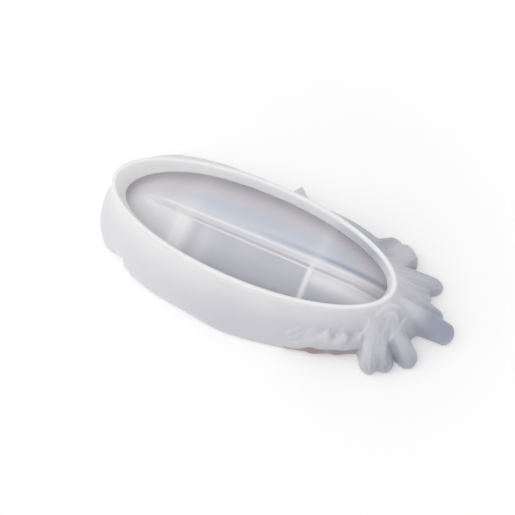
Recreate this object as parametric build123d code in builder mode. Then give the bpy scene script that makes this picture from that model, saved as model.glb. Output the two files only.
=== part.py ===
"""Silicone casting mould for a feather-shaped bowl, open at an oval pouring collar.

The mould is one flexible moulding. It is modelled as its regions, each a closed solid that meets
its neighbours face to face: the collar, the outer skin, the trough floor, the hollow core dome that
forms the inside of the bowl, the ribs that carry the dome, and the pockets that cast the quill and
the tufts of down. Millimetres, +Z up, +X from the feather's tip towards its quill.
"""
import os
from math import cos, pi, sin

from build123d import *

# Skin and overall height
wall = 3.0                 # silicone skin
height = 48.0              # table to the mouth of the collar

# Pouring collar: an oval ring whose inside narrows to a ledge
mouth_x = -17.0            # centre of the mouth
mouth_length = 91.5        # semi-axes of the mouth
mouth_width = 31.8
lip = 2.6                  # collar thickness at the mouth
ledge_z = 39.6             # underside of the collar
ledge_inset = 2.7          # how far the inside narrows from mouth to ledge
collar_flare = 0.6         # how far the outside widens from mouth to ledge
dip_ahead = 33.0           # the ledge dips towards the tip from here, behind the mouth's centre
dip = 5.6                  # how far it has dropped at the end of the mouth

# Outer skin at the table: two half ellipses that meet at the widest station
widest_x = -28.0
tip_reach = 94.5           # widest station to the feather's tip
quill_reach = 130.0        # widest station to the quill end of the body
body_width = 55.0          # half width of the near side at the widest station
far_trim = 1.3             # how much less the far side bulges
near_tip_fullness = 0.62   # an ellipse is 0.55, and a larger number is squarer
near_quill_fullness = 0.48
far_tip_fullness = 0.77
far_quill_fullness = 0.66
flank_power = 1.8          # 1 is a straight flank, larger is a fuller one

# Splits in the vane
tip_split_x = -90.0
tip_split_depth = 3.4
far_split_x = -17.0
far_split_depth = 4.5
split_half = 2.6           # half the width of a split where it opens

# Barb that stands out of the far side, and leaves of down on the near flank towards the quill.
# Each lies along a line from its root to its tip: ahead of the mouth's centre, and in from the
# widest line of the body
barb_root_ahead = 3.0
barb_root_in = 14.0
barb_tip_ahead = 9.5
barb_root_half = 7.0
barb_half = 1.6
barb_root_top = 28.0
barb_top = 15.0
leaf_root_ahead = [66.0, 76.0, 84.0]
leaf_root_in = [19.5, 23.0, 27.0]
leaf_tip_ahead = [43.0, 58.0, 73.0]
leaf_tip_in = [7.0, 9.5, 14.5]
leaf_root_half = 6.0
leaf_half = 1.8
leaf_root_top = 27.0
leaf_top = 9.0
leaf_foot = 4.5            # underside of the leaves

# Trough and core dome
floor = 3.0                # thickness of the trough floor
trough = 5.0               # clear width of the trough at its floor
crest_z = 33.0             # top of the dome
crest_tip_in = 34.5        # ends of the crest, in from the ends of the body
crest_quill_in = 50.0
crest_half = 8.0
dome_power = 2.4

# Shaft groove along the crest, narrow towards the tip
groove_tip_half = 3.2
groove_tip_depth = 1.8
groove_quill_half = 6.3
groove_quill_depth = 2.6

# Ribs under the dome
rib = 3.0
rib_tip_back = 44.0        # cross ribs on either side of the mouth's centre
rib_quill_ahead = 41.0

# Quill pocket, placed from the quill end of the body
quill_out = 20.5           # how far it reaches past the body
quill_root_back = 36.0
quill_root_half = 13.0
quill_half = 6.4
quill_root_top = 46.0
quill_end_top = 13.0

# Pockets for the tufts of down. A root lies back from the quill end of the body and out from
# the shaft, and a tip lies ahead of that end and in from the widest line of the body
far_stub_root_back = 52.0
far_stub_root_out = 20.0
far_stub_tip_ahead = -31.0
far_stub_tip_in = 9.5
far_tuft_root_back = 40.0
far_tuft_root_out = 14.0
far_tuft_tip_ahead = 4.0
far_tuft_tip_in = 25.0
near_tuft_root_back = 36.0
near_tuft_root_out = 4.0
near_tuft_tip_ahead = 3.5
near_tuft_tip_in = 25.5
pair_root_back = 34.0
pair_root_out = 14.0
pair_front_tip_ahead = -9.5
pair_front_tip_in = 15.5
pair_back_tip_ahead = -20.5
pair_back_tip_in = 10.2
pair_root_half = 9.5
pair_half = 5.2
far_stub_half = 8.0
tuft_root_half = 14.0
tuft_half = 5.6
tuft_root_top = 36.0
tuft_end_top = 11.0
nose_length = 5.0          # rounded end of a finger
nose_drop = 4.0            # how far the top of a finger rounds down at its end
lip_round = 0.8            # radius of the collar's edges at the mouth

ellipse = 4 * (2 ** 0.5 - 1) / 3  # pull of a Bezier curve that follows a quarter of an ellipse
steps = [0, 0.25, 0.5, 0.75, 1]
nose_turns = [0, pi / 6, pi / 3, pi * 0.45]
slope_steps = [-1, 0, 0.3, 0.6, 0.85, 1, 1.1]
skirt = lip + collar_flare
dome_inset = wall + trough
body_end = widest_x + quill_reach
crest_tip_x = widest_x - tip_reach + crest_tip_in
crest_quill_x = body_end - crest_quill_in
crest_x = (crest_tip_x + crest_quill_x) / 2
fullness = (near_tip_fullness, near_quill_fullness, far_tip_fullness, far_quill_fullness)


def oval(middle, along, across):
    """Outline of an ellipse, in the terms of flank."""
    return (middle, along, along, across, across) + (ellipse,) * 4


def feather(inset):
    """Outline of the feather's body at the table, moved in by inset."""
    return (widest_x, tip_reach - inset, quill_reach - inset, body_width - inset,
            body_width - far_trim - inset) + fullness


mouth = oval(mouth_x, mouth_length, mouth_width)
ledge = oval(mouth_x, mouth_length - ledge_inset, mouth_width - ledge_inset)
collar_top = oval(mouth_x, mouth_length + lip, mouth_width + lip)
collar_foot = oval(mouth_x, mouth_length + skirt, mouth_width + skirt)
body_foot = feather(0)
dome_foot = feather(dome_inset)
crest = oval(crest_x, crest_x - crest_tip_x, crest_half)
tufts = {
    "far_stub": (1, far_stub_root_back, far_stub_root_out, far_stub_tip_ahead, far_stub_tip_in,
                 tuft_root_half, far_stub_half),
    "far_tuft": (1, far_tuft_root_back, far_tuft_root_out, far_tuft_tip_ahead, far_tuft_tip_in,
                 tuft_root_half, tuft_half),
    "near_tuft": (-1, near_tuft_root_back, near_tuft_root_out, near_tuft_tip_ahead, near_tuft_tip_in,
                  tuft_root_half, tuft_half),
    "pair_front": (-1, pair_root_back, pair_root_out, pair_front_tip_ahead, pair_front_tip_in,
                   pair_root_half, pair_half),
    "pair_back": (-1, pair_root_back, pair_root_out, pair_back_tip_ahead, pair_back_tip_in,
                  pair_root_half, pair_half),
}


def flank(low, high, z_low, z_high, power=1.0, amount=0.0):
    """Body lofted from the low outline up to the high one, moved inwards by amount.

    An outline is (widest station, reach back, reach front, near half width, far half width,
    then the fullness of the near back, near front, far back and far front): four quarter
    curves that meet square to the axes.
    """
    with BuildPart() as shape:
        for step in (0, 1) if power == 1.0 else steps:
            share = 1 - step ** power
            mid, back, front, near, far, *full = [b + (a - b) * share for a, b in zip(low, high)]
            ahead = mid + front - amount
            behind = mid - back + amount
            quarters = ((behind, amount - near, full[0]), (ahead, amount - near, full[1]),
                        (behind, far - amount, full[2]), (ahead, far - amount, full[3]))
            with BuildSketch(Plane.XY.offset(z_low + (z_high - z_low) * step)):
                with BuildLine():
                    for x, y, pull in quarters:
                        Bezier((x, 0), (x, y * pull), (mid + (x - mid) * pull, y), (mid, y))
                make_face()
        loft()
    return shape.part


def ledge_dip():
    """Block above the slope that the ledge follows down towards the feather's tip."""
    start = mouth_x - dip_ahead
    end = mouth_x - mouth_length
    with BuildPart() as block:
        with BuildSketch(Plane.XZ.offset(-body_width)):
            with BuildLine():
                Polyline((start, ledge_z), (end, ledge_z - dip), (end - tip_reach, ledge_z - dip),
                         (end - tip_reach, ledge_z + dip), (start, ledge_z + dip), close=True)
            make_face()
        extrude(amount=2 * body_width)
    return block.part


def split(x, side, depth, amount=0.0):
    """Upright wedge that parts the vane, with its apex towards the shaft."""
    along = (x - widest_x) / (tip_reach if x < widest_x else quill_reach)
    edge = (body_width - (far_trim if side > 0 else 0)) * (1 - along ** 2) ** 0.5
    apex = edge - depth - amount
    opening = edge + wall
    half = (split_half + amount) * (opening - apex) / (depth + amount)
    with BuildPart() as wedge:
        with BuildSketch(Plane.XY):
            with BuildLine():
                Polyline((x, side * apex), (x + half, side * opening), (x - half, side * opening), close=True)
            make_face()
        extrude(amount=ledge_z)
    return wedge.part


def splits(amount=0.0):
    """The split near the tip on the near side and the one at the middle of the far side."""
    return [split(tip_split_x, -1, tip_split_depth, amount), split(far_split_x, 1, far_split_depth, amount)]


def finger(root, tip, root_half, end_half, root_top, end_top, amount=0.0, base=0.0):
    """Arched finger from root to tip that slopes down to a rounded nose."""
    start = Vector(*root, base)
    run = Vector(*tip, base) - start
    way = run.normalized()
    across = Vector(0, 0, 1).cross(way)
    shoulder = run.length - amount - nose_length
    stations = [(0, 1)] + [(shoulder + nose_length * sin(u), cos(u)) for u in nose_turns]
    with BuildPart() as shape:
        for travel, share in stations:
            along = travel / run.length
            side = (root_half + (end_half - root_half) * along - amount) * share
            top = root_top + (end_top - root_top) * along - amount - base - nose_drop * (1 - share)
            with BuildSketch(Plane(origin=start + way * travel, x_dir=across, z_dir=way)):
                with BuildLine():
                    Polyline((side, top / 2), (side, 0), (-side, 0), (-side, top / 2))
                    EllipticalCenterArc((0, top / 2), side, top / 2, 0, arc_size=180)
                make_face()
        loft(ruled=True)
    return shape.part


def tuft(name, amount=0.0, base=0.0):
    """One tuft pocket: its outside or, with an amount and a base, its inside."""
    side, back, out, ahead, inward, root_half, end_half = tufts[name]
    root = (body_end - back, side * out)
    tip = (body_end + ahead, side * (body_width - inward))
    return finger(root, tip, root_half, end_half, tuft_root_top, tuft_end_top, amount, base)


def quill(amount=0.0, base=0.0):
    """The quill pocket: its outside or, with an amount and a base, its inside."""
    root, tip = (body_end - quill_root_back, 0), (body_end + quill_out, 0)
    return finger(root, tip, quill_root_half, quill_half, quill_root_top, quill_end_top, amount, base)


def barb():
    """The barb that stands out of the far side."""
    root = (mouth_x + barb_root_ahead, body_width - barb_root_in)
    tip = (mouth_x + barb_tip_ahead, body_width)
    return finger(root, tip, barb_root_half, barb_half, barb_root_top, barb_top, 0, floor)


def leaves():
    """The leaves of down on the near flank, from the tip's side to the quill's."""
    found = []
    for places in zip(leaf_root_ahead, leaf_root_in, leaf_tip_ahead, leaf_tip_in):
        root_ahead, root_in, tip_ahead, tip_in = places
        root = (mouth_x + root_ahead, root_in - body_width)
        tip = (mouth_x + tip_ahead, tip_in - body_width)
        found.append(finger(root, tip, leaf_root_half, leaf_half, leaf_root_top, leaf_top, 0, leaf_foot))
    return found


def groove(amount=0.0):
    """Cutter for the shaft groove, a cone that widens towards the quill, grown by amount."""
    flare = (groove_quill_half - groove_tip_half) / (crest_quill_x - crest_tip_x)
    deepen = (groove_quill_depth - groove_tip_depth) / (crest_quill_x - crest_tip_x)
    slope = body_end - dome_inset - crest_quill_x
    with BuildPart() as cutter:
        for past in slope_steps:
            x = crest_tip_x if past < 0 else crest_quill_x + slope * past
            half = groove_tip_half + flare * (x - crest_tip_x)
            depth = groove_tip_depth + deepen * (x - crest_tip_x)
            radius = (half ** 2 + depth ** 2) / (2 * depth)
            fall = 1 - min(max(past, 0), 1)
            top = floor + (crest_z - floor) * fall ** (1 / dome_power)
            with BuildSketch(Plane.YZ.offset(x)):
                with Locations((0, top - depth + radius)):
                    Circle(radius + amount)
        loft(ruled=True)
    return cutter.part


def cross_rib(x, side):
    """Slab across the hollow of the dome at x, from the spine rib out to one side."""
    with BuildPart() as slab:
        with BuildSketch(Plane.XZ.offset(-side * rib / 2)):
            with Locations((x, crest_z / 2)):
                Rectangle(rib, crest_z)
        extrude(amount=-side * body_width)
    return slab.part


def keep(piece, name):
    """Label a finished piece and write it."""
    piece.part.label = name
    export_step(piece.part, f"parts/{name}.step")


os.makedirs("parts", exist_ok=True)

# Pouring collar
collar_outside = flank(collar_foot, collar_top, ledge_z, height)
collar_inside = flank(ledge, mouth, ledge_z, height)
with BuildPart() as pour_collar:
    add(collar_outside)
    add(collar_inside, mode=Mode.SUBTRACT)
    fillet(pour_collar.edges().group_by(Axis.Z)[-1], lip_round)
keep(pour_collar, "pour_collar")

# Forms that several regions share
body = flank(body_foot, collar_foot, floor, ledge_z, flank_power)
cavity = flank(body_foot, collar_foot, floor, ledge_z, flank_power, wall)
base = flank(body_foot, body_foot, 0, floor)
pocket_insides = [quill(wall, floor)] + [tuft(name, wall, floor) for name in tufts]

# Outer skin, opened into the pockets
taper = ledge_inset / (height - ledge_z)
throat_inset = ledge_inset + taper * 2 * dip
throat = oval(mouth_x, mouth_length - throat_inset, mouth_width - throat_inset)
with BuildPart() as hollow:
    add(cavity)
    add(ledge_dip(), mode=Mode.SUBTRACT)
    add(flank(throat, ledge, ledge_z - 2 * dip, ledge_z))
    for wedge in splits(wall):
        add(wedge, mode=Mode.SUBTRACT)
    for inside in pocket_insides:
        add(inside)
with BuildPart() as vane_shell:
    add(body)
    add(barb())
    for leaf in leaves():
        add(leaf)
    add(collar_outside, mode=Mode.SUBTRACT)
    for wedge in splits():
        add(wedge, mode=Mode.SUBTRACT)
    add(hollow.part, mode=Mode.SUBTRACT)
keep(vane_shell, "vane_shell")

# Core dome on the trough floor, hollow from below, with the shaft groove along its crest
dome_outside = flank(dome_foot, crest, floor, crest_z, dome_power)
dome_inside = flank(dome_foot, crest, 0, crest_z - wall, dome_power, wall)
with BuildPart() as dome_hollow:
    add(dome_inside)
    add(groove(wall), mode=Mode.SUBTRACT)
with BuildPart() as core_dome:
    add(dome_outside)
    add(dome_hollow.part, mode=Mode.SUBTRACT)
    add(groove(), mode=Mode.SUBTRACT)
keep(core_dome, "core_dome")

# Trough floor: the flat rim that the mould stands on
with BuildPart() as trough_floor:
    add(base)
    for wedge in splits():
        add(wedge, mode=Mode.SUBTRACT)
    add(dome_inside, mode=Mode.SUBTRACT)
keep(trough_floor, "trough_floor")

# Ribs that carry the dome: one along the shaft, two across it on either side
with BuildPart() as spine_rib:
    with BuildSketch(Plane.XY):
        with Locations((widest_x, 0)):
            Rectangle(2 * quill_reach, rib)
    extrude(amount=crest_z)
    add(dome_hollow.part, mode=Mode.INTERSECT)
keep(spine_rib, "spine_rib")
for end, x in (("tip", mouth_x - rib_tip_back), ("quill", mouth_x + rib_quill_ahead)):
    for name, side in (("near", -1), ("far", 1)):
        slab = cross_rib(x, side)
        with BuildPart() as rib_half:
            add(slab)
            add(dome_hollow.part, mode=Mode.INTERSECT)
        keep(rib_half, f"{end}_rib_{name}")

# Quill and tuft pockets, each cut where the body or an earlier pocket stands
standing = [body, base, collar_outside] + leaves()
pockets = {
    "quill_pocket": [quill()],
    "near_tuft_pair": [tuft("pair_front"), tuft("pair_back")],
    "near_tuft": [tuft("near_tuft")],
    "far_tuft": [tuft("far_tuft")],
    "far_tuft_stub": [tuft("far_stub")],
}
for name, outsides in pockets.items():
    with BuildPart() as pocket:
        for outside in outsides:
            add(outside)
        for other in standing + pocket_insides:
            add(other, mode=Mode.SUBTRACT)
    keep(pocket, name)
    standing += outsides
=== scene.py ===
"""Milky silicone mould for casting a feather-shaped bowl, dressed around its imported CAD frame.

The mould's forms are signed fields sampled on a lattice, blended so that every corner has the
soft radius of a moulding, and meshed as closed quad surfaces. Lengths are millimetres in the
forms and metres in the scene.
"""
import logging
import math
from dataclasses import dataclass, field
from enum import Enum

import bpy
import numpy as np
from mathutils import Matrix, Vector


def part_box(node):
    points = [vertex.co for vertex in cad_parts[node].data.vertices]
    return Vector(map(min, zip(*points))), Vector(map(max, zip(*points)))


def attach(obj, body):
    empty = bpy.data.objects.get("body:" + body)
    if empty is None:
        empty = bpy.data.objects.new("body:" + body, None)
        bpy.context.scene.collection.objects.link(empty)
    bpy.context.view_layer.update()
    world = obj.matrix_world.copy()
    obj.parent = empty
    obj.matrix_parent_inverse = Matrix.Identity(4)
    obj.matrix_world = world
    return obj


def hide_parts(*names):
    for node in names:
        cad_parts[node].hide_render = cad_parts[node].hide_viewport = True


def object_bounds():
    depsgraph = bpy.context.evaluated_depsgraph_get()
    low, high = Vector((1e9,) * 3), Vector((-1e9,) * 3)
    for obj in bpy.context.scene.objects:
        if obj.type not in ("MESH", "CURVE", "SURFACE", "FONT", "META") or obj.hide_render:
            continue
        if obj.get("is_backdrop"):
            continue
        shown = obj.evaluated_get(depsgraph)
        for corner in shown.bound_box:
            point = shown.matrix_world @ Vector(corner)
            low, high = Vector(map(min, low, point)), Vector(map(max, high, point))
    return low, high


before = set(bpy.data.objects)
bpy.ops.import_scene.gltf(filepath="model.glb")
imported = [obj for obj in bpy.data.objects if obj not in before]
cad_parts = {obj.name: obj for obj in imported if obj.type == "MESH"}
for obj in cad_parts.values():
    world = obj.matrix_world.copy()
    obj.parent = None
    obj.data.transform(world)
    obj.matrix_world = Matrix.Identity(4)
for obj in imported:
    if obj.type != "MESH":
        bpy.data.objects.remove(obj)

import openvdb
from mathutils import Vector

MM = 0.001
ELLIPSE = 4 * (2 ** 0.5 - 1) / 3
BODY = "root"
SKIN_SCATTER = 0.0035
EASE_PULLS = (0.5, -0.52)
CENTRE_GAP = 1e-4
SHARP = 0.001
log = logging.getLogger("mould")


class Zone(Enum):
    """Regions of the moulding that differ in thickness, and so in how milky they look."""

    SKIN = "skin"
    CORE = "core"
    RIB = "rib"


class Side(Enum):
    """Halves of the mould, parted by the feather's shaft."""

    NEAR = -1
    BOTH = 0
    FAR = 1


class Axis(Enum):
    """Ways in which a place on the mould is measured."""

    ALONG = "along the feather, towards the quill"
    ACROSS = "across the feather, towards the far side"
    HEIGHT = "up from the table"
    OUT = "away from the shaft, to either side"
    FLOOR = "up from the trough's floor"
    LEDGE = "up from the ledge's edge"
    STRIP = "up from the top of the strip at the foot"
    COLLAR = "out from the collar's outline"
    TIP_RIB = "along, from the rib near the tip"
    TIP_BEND = "along, from the rib near the tip as it shows, bent"
    QUILL_RIB = "along, from the rib near the quill"
    CREST = "along, from the start of the shaft groove"
    NEAR_EDGE = "across, from the groove's near edge"
    FAR_EDGE = "across, from the groove's far edge"
    BED = "in from the groove's edges"


def ramp(values: np.ndarray, none: float, full: float) -> np.ndarray:
    """Smooth step that is 0 at one value and 1 at another, rising or falling."""
    share = np.clip((values - none) / (full - none), 0.0, 1.0)
    return share * share * (3 - 2 * share)


def hump(values: np.ndarray, middle: float, width: float) -> np.ndarray:
    """Bell that is 1 at the middle and fades over a width."""
    return np.exp(-((values - middle) / width) ** 2)


@dataclass(frozen=True)
class Shade:
    """Amount that holds on the part of the mould that steps and bells pick out.

    A step is an axis with the values where it is 0 and where it is 1. A bell is an axis with its
    middle and the width over which it fades.
    """

    amount: float
    steps: tuple = ()
    bells: tuple = ()
    side: Side = Side.BOTH

    def over(self, spots: dict) -> np.ndarray:
        """Work the amount out at many spots.

        Args:
            spots: For each axis in use, the measures of all spots.

        Returns:
            The amount at each spot.
        """
        found = self.amount
        for axis, none, full in self.steps:
            found = found * ramp(spots[axis], none, full)
        for axis, middle, width in self.bells:
            found = found * hump(spots[axis], middle, width)
        if self.side is not Side.BOTH:
            found = found * (spots[Axis.ACROSS] * self.side.value > 0)
        return found


def shaded(shades: tuple, spots: dict) -> np.ndarray:
    """Add up all of a surface's shades at each of its spots."""
    return sum(shade.over(spots) for shade in shades)


def soft_min(a: np.ndarray, b: np.ndarray, radius: float) -> np.ndarray:
    """Union of two fields with a fillet.

    Args:
        a: First signed field.
        b: Second signed field.
        radius: Size of the fillet.

    Returns:
        The blended field.
    """
    share = np.clip(0.5 + 0.5 * (b - a) / radius, 0.0, 1.0)
    return b + (a - b) * share - radius * share * (1.0 - share)


def soft_max(a: np.ndarray, b: np.ndarray, radius: float) -> np.ndarray:
    """Intersection of two fields with a rounded edge, as soft_min is for a union."""
    return -soft_min(-a, -b, radius)


@dataclass(frozen=True)
class Egg:
    """Closed plan outline of four quarter curves that meet square to the axes.

    Fullness is given for the near back, near front, far back and far front quarters.
    """

    mid: float
    back: float
    front: float
    near: float
    far: float
    fullness: tuple = (ELLIPSE,) * 4

    @classmethod
    def oval(cls, mid: float, along: float, across: float) -> "Egg":
        """Return the outline of an ellipse."""
        return cls(mid, along, along, across, across)

    def inset(self, amount: float) -> "Egg":
        """Return the same outline moved in by an amount."""
        return Egg(self.mid, self.back - amount, self.front - amount, self.near - amount,
                   self.far - amount, self.fullness)

    def toward(self, other: "Egg", share: np.ndarray) -> tuple:
        """Blend this outline's sizes with another's.

        Args:
            other: Outline at share 1.
            share: Blend factor for each height.

        Returns:
            The nine sizes of the blended outline, each an array over the heights.
        """
        mine = (self.mid, self.back, self.front, self.near, self.far) + self.fullness
        theirs = (other.mid, other.back, other.front, other.near, other.far) + other.fullness
        return tuple(a + (b - a) * share for a, b in zip(mine, theirs))

    def field(self, x: np.ndarray, y: np.ndarray) -> np.ndarray:
        """Signed distance in plan to this outline."""
        return egg_field(x, y, self.toward(self, np.zeros_like(x)))


def egg_field(x: np.ndarray, y: np.ndarray, sizes: tuple) -> np.ndarray:
    """Signed distance in plan to an egg outline, exact at the outline to first order.

    Args:
        x: Lattice stations along the feather.
        y: Lattice stations across it.
        sizes: The nine sizes that Egg.toward gives.

    Returns:
        The field, negative inside.
    """
    mid, back, front, near, far, *full = sizes
    behind, nearer = x < mid, y < 0
    reach = np.where(behind, back, front)
    half = np.where(nearer, near, far)
    pull = np.where(behind, np.where(nearer, full[0], full[2]), np.where(nearer, full[1], full[3]))
    power = math.log(2.0) / np.log(8.0 / (4.0 + 3.0 * pull))
    u = np.maximum(np.abs(x - mid) / reach, CENTRE_GAP)
    v = np.maximum(np.abs(y) / half, CENTRE_GAP)
    ring = (u ** power + v ** power) ** (1.0 / power)
    slope = np.hypot(u ** (power - 1) / reach, v ** (power - 1) / half) * ring ** (1.0 - power)
    return (ring - 1.0) / slope


def relax(points: np.ndarray, quads: np.ndarray, rounds: int) -> np.ndarray:
    """Ease the steps that a lattice leaves in a surface, without shrinking it.

    Args:
        points: Corners of the quads.
        quads: Four corner numbers for each quad.
        rounds: How often each point moves towards its neighbours and back out again.

    Returns:
        The eased points.
    """
    ends = np.concatenate([quads[:, [k, (k + 1) % 4]] for k in range(4)])
    count = np.bincount(ends.ravel(), minlength=len(points))
    for pull in EASE_PULLS * rounds:
        sums = np.stack([np.bincount(ends[:, 0], points[ends[:, 1], k], len(points))
                         + np.bincount(ends[:, 1], points[ends[:, 0], k], len(points))
                         for k in range(3)], axis=1)
        points = points + pull * (sums / np.maximum(count, 1)[:, None] - points)
    return points


@dataclass
class Lattice:
    """Regular sample points around the mould."""

    low: Vector
    high: Vector
    step: float
    margin: float = 2.0
    ease_rounds: int = 2
    least_slope: float = 0.25

    def __post_init__(self) -> None:
        """Lay out the sample stations along each axis."""
        spans = [np.arange(lo / MM - self.margin, hi / MM + self.margin, self.step, dtype=np.float32)
                 for lo, hi in zip(self.low, self.high)]
        self.origin = np.array([span[0] for span in spans])
        self.x = spans[0][:, None, None]
        self.y = spans[1][None, :, None]
        self.z = spans[2][None, None, :]

    def even(self, values: np.ndarray) -> np.ndarray:
        """Divide a field by its own gradient, so that it measures distance near its surface.

        Args:
            values: Signed field on this lattice.

        Returns:
            The evened field.
        """
        steps = np.gradient(values, self.step)
        size = np.sqrt(steps[0] ** 2 + steps[1] ** 2 + steps[2] ** 2)
        return values / np.maximum(size, self.least_slope)

    def surface(self, name: str, values: np.ndarray) -> bpy.types.Object:
        """Mesh the zero surface of a field as a closed, smooth-shaded quad mesh.

        Args:
            name: Name of the new object.
            values: Signed field on this lattice, negative inside.

        Returns:
            The new object, in metres, kept inside the CAD box.
        """
        grid = openvdb.FloatGrid(float(self.margin))
        grid.copyFromArray(np.ascontiguousarray(np.clip(values, -self.margin, self.margin), dtype=np.float32))
        points, quads = grid.convertToQuads(0.0)
        points = relax(points, quads, self.ease_rounds)
        points = (points * self.step + self.origin) * MM
        points = np.clip(points, np.array(self.low), np.array(self.high))
        mesh = bpy.data.meshes.new(name)
        mesh.vertices.add(len(points))
        mesh.vertices.foreach_set("co", points.astype(np.float32).ravel())
        mesh.loops.add(quads.size)
        mesh.loops.foreach_set("vertex_index", quads.astype(np.int32).ravel())
        mesh.polygons.add(len(quads))
        mesh.polygons.foreach_set("loop_start", np.arange(0, quads.size, 4, dtype=np.int32))
        mesh.update(calc_edges=True)
        mesh.shade_smooth()
        mesh.validate()
        piece = bpy.data.objects.new(name, mesh)
        bpy.context.scene.collection.objects.link(piece)
        log.info("%s: %d quads", name, len(quads))
        return piece


@dataclass
class Finger:
    """Arched pocket that slopes down from its root to a rounded nose.

    Its sizes are the ends in plan, then the half widths and the heights at the root and the nose.
    """

    root: tuple
    tip: tuple
    root_half: float
    end_half: float
    root_top: float
    end_top: float
    base: float = 0.0
    nose: float = 5.0
    spring: float = 0.42
    base_round: float = 1.0

    def axes(self) -> tuple:
        """Work out the finger's line in plan.

        Returns:
            Its start, its unit direction and its length.
        """
        start = np.array(self.root, dtype=float)
        run = np.array(self.tip, dtype=float) - start
        length = float(np.hypot(*run))
        return start, run / length, length

    def field(self, at: Lattice) -> np.ndarray:
        """Work out the finger's signed field.

        Args:
            at: Lattice to sample it on.

        Returns:
            The field, negative inside.
        """
        start, way, length = self.axes()
        along = (at.x - start[0]) * way[0] + (at.y - start[1]) * way[1]
        across = np.abs((at.y - start[1]) * way[0] - (at.x - start[0]) * way[1])
        share = np.clip(along / length, 0.0, 1.0)
        half = self.root_half + (self.end_half - self.root_half) * share
        top = self.root_top + (self.end_top - self.root_top) * share
        past = np.maximum(along - (length - self.nose), 0.0) / self.nose
        before = np.maximum(-along, 0.0) / half
        rise = np.maximum(at.z - top * self.spring, 0.0) / (top * (1.0 - self.spring))
        ring = np.sqrt(past ** 2 + before ** 2 + (across / half) ** 2 + rise ** 2)
        form = (ring - 1.0) * half
        return soft_max(form, self.base - at.z, self.base_round) if self.base > 0 else form


@dataclass
class Lock:
    """Raised lock of down that lies along a curve in plan."""

    points: tuple
    width: float = 1.45
    height: float = 1.2
    beads: int = 60
    blunt: float = 0.06
    narrow: float = 0.4
    crown: float = 0.8

    def raise_on(self, relief: np.ndarray, x: np.ndarray, y: np.ndarray) -> None:
        """Add the lock to a relief map.

        Args:
            relief: Map of heights over the lattice's plan, changed in place.
            x: Plan stations along the feather.
            y: Plan stations across it.
        """
        a, b, c, d = [np.array(p, dtype=float) for p in self.points]
        for share in np.linspace(0.0, 1.0, self.beads):
            rest = 1 - share
            spot = a * rest ** 3 + 3 * b * rest ** 2 * share + 3 * c * rest * share ** 2 + d * share ** 3
            taper = math.sin(math.pi * (self.blunt + (1.0 - 2 * self.blunt) * share)) ** 0.5
            wide = self.width * (self.narrow + (1.0 - self.narrow) * taper)
            i = np.nonzero(np.abs(x - spot[0]) < wide)[0]
            j = np.nonzero(np.abs(y - spot[1]) < wide)[0]
            if not len(i) or not len(j):
                continue
            patch = np.ix_(i, j)
            gap = np.hypot(x[i][:, None] - spot[0], y[j][None, :] - spot[1]) / wide
            bead = self.height * taper * np.maximum(1 - gap ** 2, 0.0) ** self.crown
            relief[patch] = np.maximum(relief[patch], bead)


@dataclass
class Spray:
    """Locks of down that fan from one line to another in a soft double bend."""

    start: tuple
    end: tuple
    fan_in: float
    fan_out: float
    count: int
    sway: float
    width: float
    height: float
    bends: tuple = ((0.36, 1.0), (0.7, -0.8))
    head_shift: tuple = (-0.06, 0.1)
    tail_shift: tuple = (-0.08, 0.02)
    sway_spread: tuple = (0.7, 1.3)
    width_spread: tuple = (0.85, 1.15)
    height_spread: tuple = (0.75, 1.15)

    def locks(self, draw: np.random.Generator) -> list:
        """Lay out the locks of this spray.

        Args:
            draw: Source of the small differences between locks.

        Returns:
            The locks, from one side of the spray to the other.
        """
        start, end = np.array(self.start, dtype=float), np.array(self.end, dtype=float)
        run = end - start
        side = np.array([-run[1], run[0]]) / np.hypot(*run)
        found = []
        for row in np.linspace(-1.0, 1.0, self.count):
            head = start + side * row * self.fan_in + run * draw.uniform(*self.head_shift)
            tail = end + side * row * self.fan_out + run * draw.uniform(*self.tail_shift)
            bend = self.sway * draw.uniform(*self.sway_spread)
            middle = [head + run * way + side * bend * swing for way, swing in self.bends]
            found.append(Lock((head, *middle, tail), self.width * draw.uniform(*self.width_spread),
                              self.height * draw.uniform(*self.height_spread)))
        return found


@dataclass(frozen=True)
class Split:
    """Wedge that parts the vane at its edge."""

    x: float
    side: Side
    edge_share: float
    depth: float
    half: float
    tall: float

    def field(self, at: Lattice, body: Egg) -> np.ndarray:
        """Work out the wedge's signed field.

        Args:
            at: Lattice to sample it on.
            body: Plan outline of the vane.

        Returns:
            The field, negative inside.
        """
        edge = self.edge_share * (body.near if self.side is Side.NEAR else body.far)
        along = (self.x - body.mid) / (body.back if self.x < body.mid else body.front)
        apex = edge * math.sqrt(1 - along ** 2) - self.depth
        reach = self.side.value * at.y - apex
        slant = self.half / self.depth
        wedge = (np.abs(at.x - self.x) - reach * slant) / math.hypot(1.0, slant)
        return np.maximum(wedge, at.z - self.tall)


@dataclass(frozen=True)
class Ripple:
    """Slow waves that keep the soft flank from being a perfect surface."""

    slow: float = 0.28
    slow_lengths: tuple = (11.0, 17.0, 9.0, 31.0)
    wander: float = 0.8
    quick: float = 0.16
    quick_lengths: tuple = (5.3, 6.1, 23.0)

    def field(self, at: Lattice) -> np.ndarray:
        """Work out how far the waves draw the surface in.

        Args:
            at: Lattice to sample them on.

        Returns:
            The depth at each lattice point.
        """
        a, b, c, d = self.slow_lengths
        wave = np.sin(at.x / a + self.wander * np.sin(at.y / b)) * np.cos(at.z / c + at.x / d)
        a, b, c = self.quick_lengths
        return self.slow * wave + self.quick * np.sin(at.x / a + at.z / b + at.y / c)


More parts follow.
